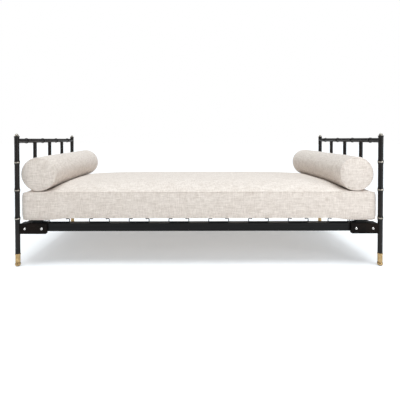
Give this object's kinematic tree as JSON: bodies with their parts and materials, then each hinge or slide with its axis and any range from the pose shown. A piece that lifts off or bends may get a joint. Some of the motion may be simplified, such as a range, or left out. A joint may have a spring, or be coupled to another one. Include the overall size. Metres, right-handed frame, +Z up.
{
  "type": "daybed",
  "caption": "Daybed with black leather-clad bamboo-style end frames, brass rings and feet, steel side rails, a boxed mattress on a sprung wire deck and round bolsters.",
  "frame": {"origin": "centre of the footprint, on the floor", "axes": "+X along the bed to the right as seen from the front, -Y the front, +Z up"},
  "size_m": [1.96, 0.8498, 0.706],
  "materials": {
    "black_leather": "black-brown bridle leather, stretched over the steel and waxed to a soft sheen",
    "black_steel": "black baked enamel, satin",
    "black_wire": "black enamelled round wire",
    "deck_wire": "drawn spring steel wire, dull",
    "black_timber": "hardwood stained black",
    "polished_brass": "polished brass, lightly aged",
    "bright_bolts": "nickel-plated steel",
    "glide_felt": "dense pressed pad",
    "mattress_fabric": "cream and greige melange weave with small loops",
    "bolster_fabric": "cream and greige melange weave with small loops",
    "foam": "open-cell upholstery foam",
    "fibre_fill": "polyester fibre"
  },
  "bodies": {
    "frame": {"anchor_rod_legs": "deck_wire", "corner_bolts": "bright_bolts", "corner_nuts": "bright_bolts", "corner_washers": "bright_bolts", "deck_cross_wires": "deck_wire", "deck_long_wires": "deck_wire", "end_bearer_stands": "black_steel", "foot_glides": "glide_felt", "front_left_bracket": "black_leather", "front_left_finial": "polished_brass", "front_left_foot": "polished_brass", "front_left_post_rings": "polished_brass", "front_left_post_sleeves": "black_leather", "front_left_post_tube": "black_steel", "front_right_bracket": "black_leather", "front_right_finial": "polished_brass", "front_right_foot": "polished_brass", "front_right_post_rings": "polished_brass", "front_right_post_sleeves": "black_leather", "front_right_post_tube": "black_steel", "front_side_rail": "black_steel", "front_stirrups": "black_wire", "left_anchor_rod": "deck_wire", "left_cross_rail": "black_leather", "left_deck_springs": "deck_wire", "left_end_bearer": "black_timber", "left_front_spindle": "black_leather", "left_middle_spindle": "black_leather", "left_rear_spindle": "black_leather", "left_top_rail": "black_leather", "left_top_rail_collars": "black_leather", "rear_left_bracket": "black_leather", "rear_left_finial": "polished_brass", "rear_left_foot": "polished_brass", "rear_left_post_rings": "polished_brass", "rear_left_post_sleeves": "black_leather", "rear_left_post_tube": "black_steel", "rear_right_bracket": "black_leather", "rear_right_finial": "polished_brass", "rear_right_foot": "polished_brass", "rear_right_post_rings": "polished_brass", "rear_right_post_sleeves": "black_leather", "rear_right_post_tube": "black_steel", "rear_side_rail": "black_steel", "rear_stirrups": "black_wire", "right_anchor_rod": "deck_wire", "right_cross_rail": "black_leather", "right_deck_springs": "deck_wire", "right_end_bearer": "black_timber", "right_front_spindle": "black_leather", "right_middle_spindle": "black_leather", "right_rear_spindle": "black_leather", "right_top_rail": "black_leather", "right_top_rail_collars": "black_leather"},
    "mattress": {"mattress_cover": "mattress_fabric", "mattress_core": "foam"},
    "left_bolster": {"left_bolster_cover": "bolster_fabric", "left_bolster_fill": "fibre_fill"},
    "right_bolster": {"right_bolster_cover": "bolster_fabric", "right_bolster_fill": "fibre_fill"}
  },
  "joints": [
    {"name": "mattress_lift", "type": "slide", "parent": "frame", "child": "mattress", "axis": [0, 0, 1], "range_m": [0, 0.5]},
    {"name": "left_bolster_lift", "type": "slide", "parent": "mattress", "child": "left_bolster", "axis": [0, 0, 1], "range_m": [0, 0.35]},
    {"name": "right_bolster_lift", "type": "slide", "parent": "mattress", "child": "right_bolster", "axis": [0, 0, 1], "range_m": [0, 0.35]}
  ]
}
